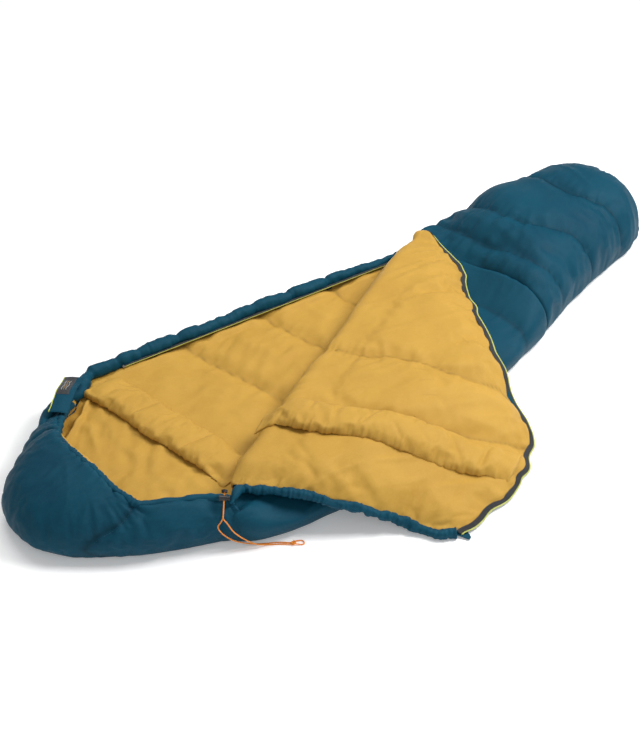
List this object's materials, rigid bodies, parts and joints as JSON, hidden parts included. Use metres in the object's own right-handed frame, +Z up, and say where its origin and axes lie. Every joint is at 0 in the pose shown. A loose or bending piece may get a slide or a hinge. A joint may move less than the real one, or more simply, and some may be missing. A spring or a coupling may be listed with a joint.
{
  "type": "mummy sleeping bag",
  "caption": "Insulated mummy sleeping bag with a shaped hood and closed foot, its front panel folded open along the zip to show the lining.",
  "frame": {"origin": "on the base panel's resting face, near the middle of the bag's length", "axes": "+X from the hood to the foot, +Y to the zipped side, +Z up from the floor"},
  "size_m": [2.1, 1.0616, 0.1935],
  "materials": {
    "shell": "petrol-blue ripstop polyester with a soft sheen",
    "lining": "mustard-yellow soft taffeta",
    "fill": "white hollow-fibre wadding",
    "zip_tape": "charcoal woven tape",
    "zip_coil": "yellow-green nylon coil",
    "metal": "dull grey",
    "trim_plastic": "black moulded plastic",
    "label": "dark woven label",
    "hook_tape": "black hook tape",
    "drawcord": "orange braided cord"
  },
  "bodies": {
    "bag": {"base_panel": "shell", "side_panel_far": "shell", "side_panel_near": "shell", "back_batting": "fill", "back_lining": "lining", "far_edge_roll": "shell", "far_edge_fill": "fill", "hood_shell": "shell", "hood_batting": "fill", "hood_lining": "lining", "hood_hem": "shell", "front_shell": "shell", "front_batting": "fill", "front_lining": "lining", "foot_shell": "shell", "foot_end_shell": "shell", "foot_batting": "fill", "foot_lining": "lining", "fold_batting": "fill", "fold_lining": "lining", "back_collar": "lining", "zip_tape_back": "zip_tape", "zip_coil_back": "zip_coil", "zip_stop_bottom": "metal", "zip_stop_top": "metal", "cord_eyelet": "trim_plastic", "drawcord_strand_a": "drawcord", "drawcord_strand_b": "drawcord", "drawcord_knot": "drawcord", "drawcord_loop": "drawcord"},
    "flap": {"flap_shell": "shell", "flap_batting": "fill", "flap_lining": "lining", "flap_neck_hem": "shell", "flap_corner": "shell", "front_collar": "lining", "pocket_bag": "lining", "zip_tape_front": "zip_tape", "zip_coil_front": "zip_coil"},
    "zip_slider": {"zip_slider_body": "metal"},
    "zip_pull": {"zip_slider_pull": "trim_plastic"},
    "neck_guard": {"zip_guard": "shell", "zip_guard_label": "label", "zip_guard_hook_tape": "hook_tape"},
    "cord_lock": {"lock_barrel": "trim_plastic", "lock_spring": "metal"},
    "cord_lock_button": {"lock_button": "trim_plastic"}
  },
  "joints": [
    {"name": "flap_fold", "type": "hinge", "parent": "bag", "child": "flap", "pos_m": [0, 0.014, 0.096], "axis": [-0.9085, -0.4179, 0], "range_deg": [0, 155], "deforming": ["fold_batting", "fold_lining"]},
    {"name": "zip_travel", "type": "slide", "parent": "bag", "child": "zip_slider", "axis": [-0.9933, 0.1157, 0], "range_m": [0, 0.88]},
    {"name": "zip_pull_swing", "type": "hinge", "parent": "zip_slider", "child": "zip_pull", "pos_m": [0.39702, 0.22301, 0.0676], "axis": [-0.1157, -0.9933, 0], "range_deg": [0, 150]},
    {"name": "neck_guard_fold", "type": "hinge", "parent": "bag", "child": "neck_guard", "pos_m": [-0.76, 0.222, 0.116], "axis": [0.6947, -0.7193, 0], "range_deg": [0, 150]},
    {"name": "cord_lock_travel", "type": "slide", "parent": "bag", "child": "cord_lock", "axis": [-0.5659, -0.6005, -0.565], "range_m": [0, 0.03]},
    {"name": "cord_lock_press", "type": "slide", "parent": "cord_lock", "child": "cord_lock_button", "axis": [-0.7278, 0.6858, 0], "range_m": [0, 0.004], "stiffness_N_per_m": 300, "springref_m": -0.002, "deforming": ["lock_spring"]}
  ]
}
